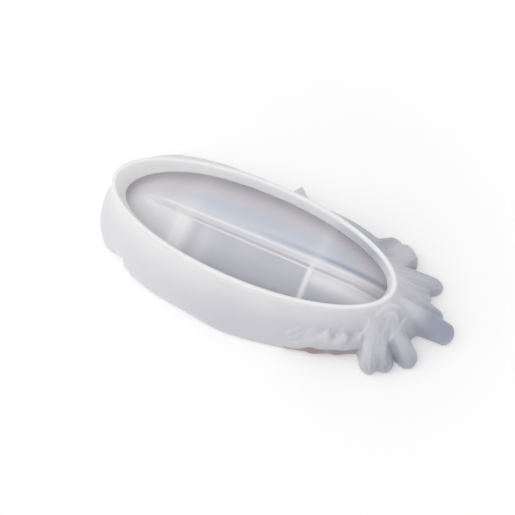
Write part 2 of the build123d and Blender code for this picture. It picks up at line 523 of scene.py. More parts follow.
@dataclass
class MouldForm:
    """Shape of the whole moulding, sized from the CAD nodes' boxes."""

    wall: float = 3.0
    lip: float = 2.6
    ledge_inset: float = 2.7
    floor: float = 3.0
    widest: float = -28.0
    fullness: tuple = (0.62, 0.48, 0.77, 0.66)
    flank_power: tuple = (1.5, 1.2)
    flank_limit: float = 1.1
    dome_power: float = 2.4
    dome_limit: float = 1.15
    dome_inset: float = 8.0
    crest_half: float = 8.0
    crest_tip_in: float = 34.5
    crest_quill_in: float = 50.0
    crest_round: float = 2.0
    groove_half: tuple = (2.0, 2.9)
    groove_depth: tuple = (1.3, 1.8)
    groove_limit: float = 1.3
    groove_round: float = 0.9
    rib: float = 3.0
    rib_tip_back: float = 44.0
    rib_quill_ahead: float = 41.0
    corner: float = 1.6
    fillet: float = 5.0
    pocket_blend: float = 2.2
    split_round: float = 0.9
    splits: tuple = (Split(-90.8, Side.NEAR, 0.83, 3.0, 1.2, 5.0), Split(-17.0, Side.FAR, 1.0, 4.5, 2.6, 40.0))
    tip_step: float = -90.0
    tip_trim: Shade = Shade(0.21, ((Axis.ALONG, -111.0, -90.0),))
    waist_trim: Shade = Shade(0.058, ((Axis.ALONG, -8.0, -48.0),))
    near_fade: Shade = Shade(1.0, ((Axis.HEIGHT, 20.0, 1.0),))
    near_fade_power: float = 1.5
    far_trims: tuple = (Shade(0.03, bells=((Axis.ALONG, -21.0, 8.0),)),
                        Shade(0.045, bells=((Axis.ALONG, 10.0, 9.0),)))
    fine_step: float = 0.75
    quick_step: float = 1.2
    seed: int = 7
    grid: Lattice = field(init=False)

    def __post_init__(self) -> None:
        """Read the collar's, the rim's, the dome's and the quill's boxes."""
        low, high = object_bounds()
        self.grid = Lattice(Vector(low), Vector(high), self.fine_step)
        lo, hi = [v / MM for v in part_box("pour_collar")]
        self.ledge, self.top = lo.z, hi.z
        self.mouth_x = (lo.x + hi.x) / 2
        self.collar = Egg.oval(self.mouth_x, (hi.x - lo.x) / 2, (hi.y - lo.y) / 2)
        lo, hi = [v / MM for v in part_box("trough_floor")]
        self.body_end, self.half = hi.x, -lo.y
        self.body = Egg(self.widest, self.widest - lo.x, hi.x - self.widest, -lo.y, hi.y, self.fullness)
        self.crest_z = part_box("core_dome")[1].z / MM
        self.dome = self.body.inset(self.dome_inset)
        ends = (lo.x + self.crest_tip_in, hi.x - self.crest_quill_in)
        self.crest = Egg.oval(sum(ends) / 2, (ends[1] - ends[0]) / 2, self.crest_half)
        self.crest_start = self.crest.mid - self.crest.back
        self.quill_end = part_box("quill_pocket")[1].x / MM
        self.strands = self.down()

    def pockets(self) -> list:
        """Lay out the quill and the tufts of down, which are hollow.

        Returns:
            The quill's two fingers, the far tufts and the near tufts.
        """
        end, half = self.body_end, self.half
        return [Finger((end - 36.0, 0.4), (self.quill_end, 0.8), 7.4, 6.1, 46.0, 13.0),
                Finger((end - 40.0, 8.5), (end + 11.0, 7.8), 13.0, 4.6, 44.0, 11.0),
                Finger((end - 52.0, 20.0), (end - 31.0, half - 9.5), 14.0, 8.0, 36.0, 11.0),
                Finger((end - 46.0, 16.0), (end - 21.0, half - 12.5), 13.0, 8.0, 36.0, 14.0),
                Finger((end - 36.0, 8.0), (end - 0.5, half - 37.5), 12.0, 5.5, 40.0, 12.0),
                Finger((end - 40.0, 14.0), (end + 3.4, half - 25.5), 12.0, 4.1, 36.0, 10.0),
                Finger((end - 36.0, -5.0), (end + 4.4, 29.0 - half), 12.0, 5.3, 36.0, 11.0),
                Finger((end - 34.0, -14.0), (end - 9.3, 19.0 - half), 9.0, 4.7, 36.0, 11.0),
                Finger((end - 34.0, -14.0), (end - 18.8, 13.0 - half), 9.0, 4.4, 36.0, 11.0)]

    def leaves(self) -> list:
        """Lay out the barb on the far side and the leaves of down on the near flank.

        Returns:
            The barb and three leaves, all solid.
        """
        x, half = self.mouth_x, self.half
        barb = Finger((x + 14.0, half - 15.0), (x + 12.2, half), 11.5, 0.9, 30.0, 15.0, nose=2.5)
        ends = ((66.0, 19.5, 43.0, 7.0), (76.0, 23.0, 58.0, 9.5), (84.0, 27.0, 73.0, 14.5))
        return [barb] + [Finger((x + root_x, root_in - half), (x + tip_x, tip_in - half), 6.0, 1.8, 27.0, 9.0, 4.5)
                         for root_x, root_in, tip_x, tip_in in ends]

    def sprays(self) -> list:
        """Lay out the sprays of down.

        Returns:
            Three sprays on the near shoulder, two on the far tufts and four on the leaves.
        """
        return [Spray((73.0, -18.0), (84.0, -40.0), 6.5, 7.5, 10, 3.0, 1.25, 0.95),
                Spray((85.0, -12.0), (104.0, -25.0), 4.5, 3.6, 6, 2.5, 1.2, 0.85),
                Spray((78.0, -7.0), (90.0, -20.0), 3.0, 6.0, 5, 3.0, 1.2, 0.8),
                Spray((74.0, 18.0), (102.0, 29.0), 6.0, 3.0, 6, 2.0, 1.3, 0.8),
                Spray((64.0, 25.0), (76.0, 44.0), 8.0, 8.0, 9, -2.0, 1.3, 0.8),
                Spray((36.0, -39.5), (27.0, -46.0), 2.8, 1.2, 3, 1.0, 1.05, 0.6),
                Spray((44.5, -35.0), (38.0, -44.0), 2.8, 1.8, 4, 1.0, 1.05, 0.6),
                Spray((52.0, -33.0), (47.0, -41.0), 2.6, 2.0, 4, 1.0, 1.05, 0.6),
                Spray((60.0, -28.0), (56.0, -37.5), 2.0, 2.6, 3, 1.0, 1.05, 0.55)]

    def single_locks(self) -> list:
        """Lay out the locks that lie by themselves.

        Returns:
            The curl beside the collar and two locks at the edges of the leaves.
        """
        paths = (((73.0, -16.0), (75.0, -10.0), (78.0, -5.0), (84.0, -4.0)),
                 ((77.5, -13.0), (81.0, -7.5), (86.5, -7.0), (83.5, -12.0)),
                 ((90.0, -6.0), (89.0, -13.0), (88.0, -19.0), (84.5, -24.0)),
                 ((79.5, -14.5), (82.0, -18.0), (80.0, -21.0), (82.0, -26.0)),
                 ((87.0, -11.0), (85.0, -15.0), (87.0, -20.0), (84.5, -23.0)),
                 ((49.0, -39.5), (53.0, -38.0), (57.0, -37.5), (61.0, -33.0)),
                 ((69.0, -30.0), (68.0, -27.0), (70.5, -25.0), (70.5, -21.0)))
        return [Lock(path) for path in paths]

    def down(self) -> np.ndarray:
        """Work out how high the locks of down stand.

        Returns:
            The height at each plan station of the lattice.
        """
        x, y = self.grid.x.ravel(), self.grid.y.ravel()
        heights = np.zeros((len(x), len(y)), dtype=np.float32)
        draw = np.random.default_rng(self.seed)
        locks = [lock for spray in self.sprays() for lock in spray.locks(draw)]
        for lock in locks + self.single_locks():
            lock.raise_on(heights, x, y)
        return heights

    def near_trim(self, spots: dict) -> np.ndarray:
        """Return the share by which the near half is drawn in, most of all before the tip's split."""
        shares = np.where(spots[Axis.ALONG] < self.tip_step, self.tip_trim.over(spots), self.waist_trim.over(spots))
        return shares * self.near_fade.over(spots) ** self.near_fade_power

    def outside(self) -> np.ndarray:
        """Work out the outer form before its relief: collar, flank, quill and tufts.

        Returns:
            Its signed field on the lattice.
        """
        at = self.grid
        spots = {Axis.ALONG: at.x, Axis.HEIGHT: at.z}
        rise = np.clip((at.z - self.floor) / (self.ledge - self.floor), 0.0, self.flank_limit)
        share = rise ** np.where(at.y < 0, *self.flank_power)
        mid, back, front, near, far, *full = self.body.toward(self.collar, share)
        near = near * (1 - self.near_trim(spots))
        far = far * (1 - shaded(self.far_trims, spots) * (1 - share))
        flank = egg_field(at.x, at.y, (mid, back, front, near, far, *full))
        low = np.clip(self.corner - at.z, 0.0, self.corner)
        flank = flank + self.corner - np.sqrt(self.corner ** 2 - low ** 2)
        wedges = np.minimum(*[split.field(at, self.body) for split in self.splits])
        flank = soft_max(flank, -wedges, self.split_round)
        column = self.collar.field(at.x, at.y) + 0 * at.z
        form = soft_min(np.maximum(flank, at.z - self.ledge), column, self.fillet)
        for finger in self.pockets():
            form = soft_min(form, finger.field(at), self.pocket_blend)
        return at.even(form)

    def core(self) -> np.ndarray:
        """Work out the outer form of the core dome, with the shaft groove along its crest.

        Returns:
            Its signed field on the lattice.
        """
        at = self.grid
        rise = np.clip((at.z - self.floor) / (self.crest_z - self.floor), 0.0, self.dome_limit)
        dome = egg_field(at.x, at.y, self.dome.toward(self.crest, rise ** self.dome_power))
        dome = soft_max(at.even(dome), at.z - self.crest_z, self.crest_round)
        return soft_max(dome, -self.groove(), self.groove_round)

    def groove(self) -> np.ndarray:
        """Work out the shaft groove's cutter, which follows the crest and the dome's quill end.

        Returns:
            Its signed field on the lattice.
        """
        at = self.grid
        half, depth = self.groove_sizes(at.x)
        last = self.crest.mid + self.crest.front
        foot = self.dome.mid + self.dome.front
        radius = (half ** 2 + depth ** 2) / (2 * depth)
        fall = 1 - np.clip((at.x - last) / (foot - last), 0.0, 1.0)
        crest = self.floor + (self.crest_z - self.floor) * fall ** (1 / self.dome_power)
        cutter = np.hypot(at.y, at.z - (crest - depth + radius)) - radius
        return np.maximum(cutter, self.crest_start - at.x)

    def groove_sizes(self, x: np.ndarray) -> tuple:
        """Return the half width and the depth of the shaft groove at stations along the feather."""
        share = np.clip((x - self.crest_start) / (2 * self.crest.back), 0.0, self.groove_limit)
        return tuple(start + (end - start) * share for start, end in (self.groove_half, self.groove_depth))


@dataclass
class OuterSkin:
    """Collar, skin, trough floor and pockets: all that is seen from outside.

    The last fields are its tones: milkiness mixed with painted light and shade, painted highlights on the lip, the
    ledge and the down, warm and cool tints that carry painted shade, and a painted glow from within.
    """

    form: MouldForm
    lip_round: float = 0.8
    edge_round: float = 0.8
    shelf_round: float = 0.8
    leaf_blend: float = 1.3
    mouth_blend: float = 0.6
    inset_limits: tuple = (-0.1, 2.4)
    plain_top: float = 6.0
    top_fade: float = 4.0
    foot_fade: float = 5.0
    floor_overlap: float = 1.0
    ledge_drop: float = 0.4
    dip: float = 9.5
    dip_ahead: float = 33.0
    dip_limit: float = 1.1
    mouth_dips: float = 1.5
    ripple: Ripple = Ripple()
    # Milkiness mixed with painted light and shade: lighter towards the top, the lip and the tip, darker towards the
    # quill and on parts of the far flank.
    milk_and_shade: tuple = (
        Shade(0.35),
        Shade(0.10, ((Axis.HEIGHT, 8.0, 40.0),)),
        Shade(0.30, ((Axis.HEIGHT, 24.0, 46.0),)),
        Shade(0.30, ((Axis.HEIGHT, 39.5, 46.5), (Axis.ACROSS, 8.0 + SHARP, 8.0 - SHARP))),
        Shade(0.22, ((Axis.ALONG, -10.0, -80.0),)),
        Shade(-0.18, ((Axis.ALONG, 0.0, 80.0),)),
        Shade(-0.36, ((Axis.ALONG, 90.0, 114.0),), ((Axis.ACROSS, 1.0, 11.0),)),
        Shade(0.12, (), ((Axis.ACROSS, 0.0, 7.0), (Axis.ALONG, 92.0, 8.0))),
        Shade(-0.08, ((Axis.OUT, 14.0, 34.0), (Axis.ALONG, 74.0, 84.0))),
        Shade(-0.34, ((Axis.ACROSS, 6.0, 18.0), (Axis.ALONG, 20.0, 44.0), (Axis.ALONG, 72.0, 56.0))),
        Shade(0.10, ((Axis.ACROSS, 8.0, 14.0), (Axis.ALONG, 74.0, 84.0))),
        Shade(-0.10, ((Axis.ACROSS, 14.0, 24.0), (Axis.ALONG, 76.0, 84.0))),
        Shade(-0.10, ((Axis.ACROSS, -18.0, -26.0), (Axis.ALONG, 82.0, 88.0))))
    # Painted highlight on the tops of the locks of down.
    strand_highlight: Shade = Shade(0.17, ((Axis.HEIGHT, 2.0, 6.0),))
    inner_lips: float = 0.7
    inner_drop: float = 0.5
    # Painted light that lifts the inside of the cavity below the ledge.
    cavity_light: float = 0.98
    # Painted highlight along the lip.
    lip_highlight: float = 0.93
    lip_highlight_band: tuple = (2.6, 0.8)
    # Painted highlight along the ledge's edge, slightly warm.
    ledge_highlight: Shade = Shade(1.0, bells=((Axis.LEDGE, 0.6, 1.0),))
    ledge_highlight_warmth: float = 0.10
    # Warm painted shade inside the cavity below the ledge.
    cavity_shade_warmth: float = 0.12
    strip_top: tuple = (6.6, 5.6)
    strip_rise: Shade = Shade(1.0, ((Axis.ALONG, 34.0, 44.0),))
    # Painted shadow on the strip under the leaves on the near side.
    strip: Shade = Shade(1.2, ((Axis.STRIP, 1.0, 0.0), (Axis.ALONG, 25.0, 31.0), (Axis.ALONG, 72.0, 68.0)),
                         side=Side.NEAR)
    # Cool tint at the quill and the tufts, for thin silicone and painted shade.
    cool_and_shade: tuple = (Shade(0.5, ((Axis.ALONG, 94.0, 112.0),), ((Axis.ACROSS, 1.0, 11.0),)),
                   Shade(0.12, ((Axis.ALONG, 70.0, 90.0),)))
    # Painted glow in the cavity below the ledge and towards the tip, standing in for light let in through the
    # silicone.
    painted_glow: tuple = (Shade(0.85, ((Axis.LEDGE, 1.0, -3.0), (Axis.FLOOR, -2.0, 0.0))),
                   Shade(0.6, ((Axis.LEDGE, 1.0, -3.0), (Axis.FLOOR, -2.0, 0.0), (Axis.ALONG, -70.0, -105.0))),
                   Shade(0.5, ((Axis.ALONG, -80.0, -108.0), (Axis.FLOOR, 0.0, SHARP))))

    def shape(self, outside: np.ndarray, core: np.ndarray) -> np.ndarray:
        """Work out the closed skin.

        Args:
            outside: Outer form before relief.
            core: Outer form of the core dome.

        Returns:
            The skin's signed field.
        """
        form, at = self.form, self.form.grid
        below_collar = np.clip((form.top - self.plain_top - at.z) / self.top_fade, 0.0, 1.0)
        worn = outside - form.strands[:, :, None] * below_collar
        worn = worn + self.ripple.field(at) * below_collar * np.clip(at.z / self.foot_fade, 0.0, 1.0)
        for leaf in form.leaves():
            worn = soft_min(worn, leaf.field(at), self.leaf_blend)
        solid = soft_max(worn, at.z - form.top, self.lip_round)
        trough = soft_max(form.floor - at.z, at.z - self.shelf(at.x), self.shelf_round)
        cavity = soft_max(outside + form.wall, trough, self.shelf_round)
        hollow = soft_min(cavity, self.mouth(), self.mouth_blend)
        under = np.maximum(core, at.z - form.floor - self.floor_overlap)
        return np.maximum(np.maximum(soft_max(solid, -hollow, self.edge_round), -under), -at.z)

    def mouth(self) -> np.ndarray:
        """Work out the collar's opening, which narrows towards the ledge.

        Returns:
            Its signed field on the lattice.
        """
        form, at = self.form, self.form.grid
        inset = form.ledge_inset * np.clip((form.top - at.z) / (form.top - form.ledge), *self.inset_limits)
        long, wide = form.collar.front - form.lip, form.collar.near - form.lip
        sizes = (form.mouth_x, long - inset, long - inset, wide - inset, wide - inset) + (ELLIPSE,) * 4
        return np.maximum(egg_field(at.x, at.y, sizes), form.ledge - self.mouth_dips * self.dip - at.z)

    def shelf(self, x: np.ndarray) -> np.ndarray:
        """Work out the height of the ledge's edge, which dips towards the tip.

        Args:
            x: Stations along the feather.

        Returns:
            The height at each station.
        """
        form = self.form
        drop = np.clip((form.mouth_x - self.dip_ahead - x) / (form.collar.front - self.dip_ahead), 0.0,
                       self.dip_limit)
        return form.ledge - self.ledge_drop - self.dip * drop ** 2

    def spots(self, piece: bpy.types.Object) -> dict:
        """Measure the skin's vertices along each axis that its tones use.

        Args:
            piece: The meshed skin.

        Returns:
            The measures by their axis.
        """
        x, y, z = vertices(piece)
        found = {Axis.ALONG: x, Axis.ACROSS: y, Axis.HEIGHT: z, Axis.OUT: np.abs(y),
                 Axis.FLOOR: z - self.form.floor, Axis.LEDGE: z - self.shelf(x),
                 Axis.COLLAR: self.form.collar.field(x, y)}
        low, more = self.strip_top
        found[Axis.STRIP] = z - (low + more * self.strip_rise.over(found))
        return found

    def strand(self, x: np.ndarray, y: np.ndarray) -> np.ndarray:
        """Look up how high the down stands at each vertex.

        Args:
            x: Where the vertices lie along the feather.
            y: Where they lie across it.

        Returns:
            The heights.
        """
        grid = self.form.grid
        i, j = [np.rint((values - start) / grid.step).astype(int) for values, start in zip((x, y), grid.origin)]
        return self.form.strands[np.clip(i, 0, None), np.clip(j, 0, None)]

    def dress(self, piece: bpy.types.Object) -> None:
        """Store the skin's tones, with their painted light and shade, at each vertex.

        Args:
            piece: The meshed skin.
        """
        form, spots = self.form, self.spots(piece)
        x, y, z = (spots[axis] for axis in (Axis.ALONG, Axis.ACROSS, Axis.HEIGHT))
        inside = spots[Axis.COLLAR] < -form.lip * self.inner_lips
        # Painted highlight along the ledge's edge, inside the collar.
        line = self.ledge_highlight.over(spots) * inside
        # Milkiness with painted light and shade, plus painted highlights on the tops of the down.
        milk_and_shade = shaded(self.milk_and_shade, spots) + self.strand_highlight.over(spots) * self.strand(x, y)
        # Painted light inside the cavity below the ledge.
        milk_and_shade = np.where(inside & (z < form.ledge), self.cavity_light, milk_and_shade)
        # Painted highlight along the lip.
        start, full = self.lip_highlight_band
        milk_and_shade = milk_and_shade + (self.lip_highlight - milk_and_shade) * ramp(z, form.top - start, form.top - full)
        # Painted shadow on the strip under the leaves, and the ledge highlight's warmth.
        warm_and_shade = np.maximum(self.strip.over(spots), self.ledge_highlight_warmth * line)
        store(piece, "milk_and_shade", np.maximum(milk_and_shade, line))
        # Warm painted shade inside the cavity below the ledge.
        store(piece, "warm_and_shade", np.where(inside & (spots[Axis.LEDGE] < -self.inner_drop), self.cavity_shade_warmth, warm_and_shade))
        # Cool tint for thin silicone and painted shade.
        store(piece, "cool_and_shade", shaded(self.cool_and_shade, spots))
        # Painted glow inside the cavity.
        store(piece, "painted_glow", shaded(self.painted_glow, spots) * inside)


@dataclass
class CoreDome:
    """The hollow dome that forms the inside of the bowl.

    The last fields are its tones: whiter where ribs stand behind it, with painted shade on its near half and in a
    stripe along the groove, painted highlights along the groove's edges and beside the quill rib, and a painted glow
    near the collar.
    """

    form: MouldForm
    rim_round: float = 0.6
    bend: float = 0.7
    bend_length: float = 7.0
    # Near half: painted shade, darkest from the middle on and lower down, with lighter bands where ribs stand
    # behind.
    near_milk_and_shade: tuple = (
        Shade(0.50),
        Shade(-0.42, ((Axis.ALONG, -75.0, -40.0),)),
        Shade(0.14, ((Axis.ALONG, 30.0, 60.0),)),
        Shade(0.16, ((Axis.HEIGHT, 20.0, 29.0),)),
        Shade(0.62, bells=((Axis.TIP_BEND, -1.0, 6.0),)),
        Shade(0.16, bells=((Axis.TIP_BEND, 15.0, 6.0),)),
        Shade(-0.16, bells=((Axis.TIP_BEND, 8.5, 5.0),)),
        Shade(1.1, bells=((Axis.QUILL_RIB, 0.6, 1.5),)),
        Shade(-0.22, ((Axis.QUILL_RIB, 8.0, 22.0), (Axis.HEIGHT, 25.0, 16.0))))
    # Far half: milkiness with painted light, lighter lower down and towards the quill, and lighter bands over the
    # ribs.
    far_milk_and_shade: tuple = (
        Shade(0.56),
        Shade(0.16, ((Axis.ALONG, -20.0, 40.0),)),
        Shade(0.40, ((Axis.HEIGHT, 26.0, 8.0),)),
        Shade(0.14, bells=((Axis.TIP_RIB, 0.0, 8.0),)),
        Shade(0.22, bells=((Axis.QUILL_RIB, 2.0, 5.0),)))
    # Painted highlight beside the quill rib.
    shoulder_highlight: Shade = Shade(0.60, ((Axis.QUILL_RIB, 1.0, 5.0), (Axis.ALONG, 90.0, 70.0)),
                            ((Axis.NEAR_EDGE, -5.0, 4.5),))
    # Painted shade in a stripe along the groove's far edge.
    shade_stripe: Shade = Shade(1.0, ((Axis.ALONG, -40.0, 50.0),), ((Axis.FAR_EDGE, 4.2, 2.1),))
    shade_stripe_darkening: float = -0.55
    # Painted highlights along both edges of the groove.
    edge_highlights: tuple = (Shade(0.98, ((Axis.HEIGHT, 12.0, 24.0),), ((Axis.NEAR_EDGE, -0.3, 0.8),)),
                         Shade(0.92, ((Axis.HEIGHT, 12.0, 24.0),), ((Axis.FAR_EDGE, 0.9, 1.3),)))
    edge_highlight_start: tuple = (Shade(0.25), Shade(0.75, ((Axis.CREST, -2.0, 14.0),)))
    bed: Shade = Shade(1.0, ((Axis.BED, 0.2, 1.2), (Axis.HEIGHT, 20.0, 26.0)))
    foot: Shade = Shade(1.0, ((Axis.HEIGHT, 9.0, 3.0),))
    bed_milk: float = 0.14
    foot_milk: float = 0.2
    # Cool tint: thin silicone between the ribs, and painted shade along the groove's far edge and low on the near
    # half.
    cool_and_shade: tuple = (
        Shade(0.70, ((Axis.ALONG, -75.0, -50.0), (Axis.ALONG, 62.0, 30.0)), ((Axis.ACROSS, 13.0, 8.0),)),
        Shade(0.65, ((Axis.ALONG, -40.0, 50.0),), ((Axis.FAR_EDGE, 4.2, 2.1),)),
        Shade(0.55, ((Axis.ALONG, -60.0, -30.0), (Axis.HEIGHT, 29.0, 22.0)), side=Side.NEAR))
    # Pink tint by the tip rib on the near half, and warm painted shade under the ledge on the far half.
    warm_and_shade: tuple = (
        Shade(0.10, bells=((Axis.TIP_RIB, 0.0, 6.0),), side=Side.NEAR),
        Shade(0.16, ((Axis.COLLAR, -20.0, -4.0),), side=Side.FAR))
    # Warm painted shade in the groove's bed and at the dome's foot.
    base_warmth: float = 0.12
    # Painted glow near the collar, more on the far half, less by the quill end, plus towards the tip.
    painted_glow: tuple = (Shade(0.45, ((Axis.COLLAR, -20.0, -4.0),)),
                   Shade(0.40, ((Axis.COLLAR, -20.0, -4.0),), side=Side.FAR))
    painted_glow_gap: Shade = Shade(0.7, ((Axis.ALONG, 30.0, 66.0),), ((Axis.ACROSS, 3.0, 9.0),))
    painted_tip_glow: Shade = Shade(0.5, ((Axis.ALONG, -70.0, -100.0),))
    painted_glow_foot: Shade = Shade(1.0, ((Axis.HEIGHT, 2.0, 4.0),))

    def shape(self, core: np.ndarray) -> np.ndarray:
        """Return the signed field of the dome as a shell, open below."""
        return np.maximum(soft_max(core, -(core + self.form.wall), self.rim_round), -self.form.grid.z)

    def spots(self, piece: bpy.types.Object) -> dict:
        """Measure the dome's vertices along each axis that its tones use.

        Args:
            piece: The meshed dome.

        Returns:
            The measures by their axis.
        """
        form = self.form
        x, y, z = vertices(piece)
        half, _ = form.groove_sizes(x)
        tip_rib = x - (form.mouth_x - form.rib_tip_back)
        return {Axis.ALONG: x, Axis.ACROSS: y, Axis.HEIGHT: z, Axis.TIP_RIB: tip_rib,
                Axis.TIP_BEND: tip_rib + self.bend * np.sin(y / self.bend_length),
                Axis.QUILL_RIB: x - (form.mouth_x + form.rib_quill_ahead), Axis.CREST: x - form.crest_start,
                Axis.NEAR_EDGE: y + half, Axis.FAR_EDGE: y - half, Axis.BED: half - np.abs(y),
                Axis.COLLAR: form.collar.field(x, y)}

    def dress(self, piece: bpy.types.Object) -> None:
        """Store the dome's tones, with their painted light and shade, at each vertex.

        Args:
            piece: The meshed dome.
        """
        spots = self.spots(piece)
        bed, foot = self.bed.over(spots), self.foot.over(spots)
        # Painted shade on the near half and painted light on the far half, with milkiness.
        milk_and_shade = np.where(spots[Axis.ACROSS] < 0, shaded(self.near_milk_and_shade, spots), shaded(self.far_milk_and_shade, spots))
        # Painted highlight beside the quill rib and painted shade in the stripe along the groove.
        milk_and_shade = milk_and_shade + self.shoulder_highlight.over(spots) + self.shade_stripe_darkening * self.shade_stripe.over(spots)
        # Painted highlights along the groove's edges.
        for line in self.edge_highlights:
            milk_and_shade = np.maximum(milk_and_shade, line.over(spots) * shaded(self.edge_highlight_start, spots))
        # Painted glow near the collar and towards the tip.
        painted_glow = shaded(self.painted_glow, spots) * (1 - self.painted_glow_gap.over(spots)) + self.painted_tip_glow.over(spots)
        store(piece, "milk_and_shade", milk_and_shade + self.bed_milk * bed + self.foot_milk * foot)
        # Warm tint and painted shade, more in the groove's bed and at the foot.
        store(piece, "warm_and_shade", shaded(self.warm_and_shade, spots) + self.base_warmth * (bed + foot))
        store(piece, "cool_and_shade", shaded(self.cool_and_shade, spots))
        store(piece, "painted_glow", painted_glow * self.painted_glow_foot.over(spots))


@dataclass
class Ribs:
    """The ribs that carry the dome from below."""

    form: MouldForm
    bite: float = 0.15
    edge_round: float = 0.4
    # Painted light, lighter towards the top, and warm painted shade at the foot.
    milk_and_shade: tuple = (Shade(0.62), Shade(0.1, ((Axis.HEIGHT, 0.0, 20.0),)))
    warm_and_shade: Shade = Shade(0.1, ((Axis.HEIGHT, 3.0, 0.0),))

    def rib(self, slab: np.ndarray, core: np.ndarray) -> np.ndarray:
        """Return the signed field of a slab that is cut off below the dome and at the table."""
        under = core + self.form.wall - self.bite
        return soft_max(soft_max(slab, under, self.edge_round), -self.form.grid.z, self.edge_round)

    def shapes(self, core: np.ndarray) -> dict:
        """Work out the spine rib and the four half ribs.

        Args:
            core: Outer form of the core dome.

        Returns:
            Their signed fields, by the name of their node.
        """
        form, at = self.form, self.form.grid
        half = form.rib / 2
        found = {"spine_rib": self.rib(np.abs(at.y) - half, core)}
        for end, x in (("tip", form.mouth_x - form.rib_tip_back), ("quill", form.mouth_x + form.rib_quill_ahead)):
            for side in (Side.NEAR, Side.FAR):
                slab = np.maximum(np.abs(at.x - x) - half, half - side.value * at.y)
                found[f"{end}_rib_{side.name.lower()}"] = self.rib(slab, core)
        return found

    def dress(self, piece: bpy.types.Object) -> None:
        """Store a rib's tones at each vertex: painted light that is lighter towards the top, and a warm painted
        shade at its foot.

        Args:
            piece: The meshed rib.
        """
        spots = {Axis.HEIGHT: vertices(piece)[2]}
        store(piece, "milk_and_shade", shaded(self.milk_and_shade, spots))
        store(piece, "warm_and_shade", self.warm_and_shade.over(spots))
        for name in ("cool_and_shade", "painted_glow"):
            store(piece, name, np.zeros_like(spots[Axis.HEIGHT]))


def vertices(piece: bpy.types.Object) -> tuple:
    """Read where a piece's vertices are.

    Args:
        piece: The meshed piece.

    Returns:
        Their x, y and z in millimetres.
    """
    flat = np.empty(len(piece.data.vertices) * 3, dtype=np.float32)
    piece.data.vertices.foreach_get("co", flat)
    return tuple(flat.reshape(-1, 3).T / MM)


def store(piece: bpy.types.Object, name: str, values: np.ndarray) -> None:
    """Store one number for each vertex of a piece.

    Args:
        piece: The meshed piece.
        name: Name of the attribute that its finish reads.
        values: The numbers, kept between 0 and 1.
    """
    kept = piece.data.attributes.new(name, "FLOAT", "POINT")
    kept.data.foreach_set("value", np.clip(values, 0.0, 1.0).astype(np.float32))


def add_node(tree: bpy.types.NodeTree, kind: str, inputs: dict, **settings: object) -> bpy.types.Node:
    """Add a shader node.

    Args:
        tree: Node tree to add it to.
        kind: Type of the node.
        inputs: Sockets to link or plain values to set, by the name or number of the input.
        settings: The node's own settings.

    Returns:
        The node.
    """
    node = tree.nodes.new(kind)
    for name, value in settings.items():
        setattr(node, name, value)
    for name, value in inputs.items():
        if isinstance(value, bpy.types.NodeSocket):
            tree.links.new(value, node.inputs[name])
        else:
            node.inputs[name].default_value = value
    return node


def calculate(tree: bpy.types.NodeTree, operation: str, *values: object) -> bpy.types.NodeSocket:
    """Return the output of a math node on sockets or plain numbers."""
    return add_node(tree, "ShaderNodeMath", dict(enumerate(values)), operation=operation).outputs["Value"]


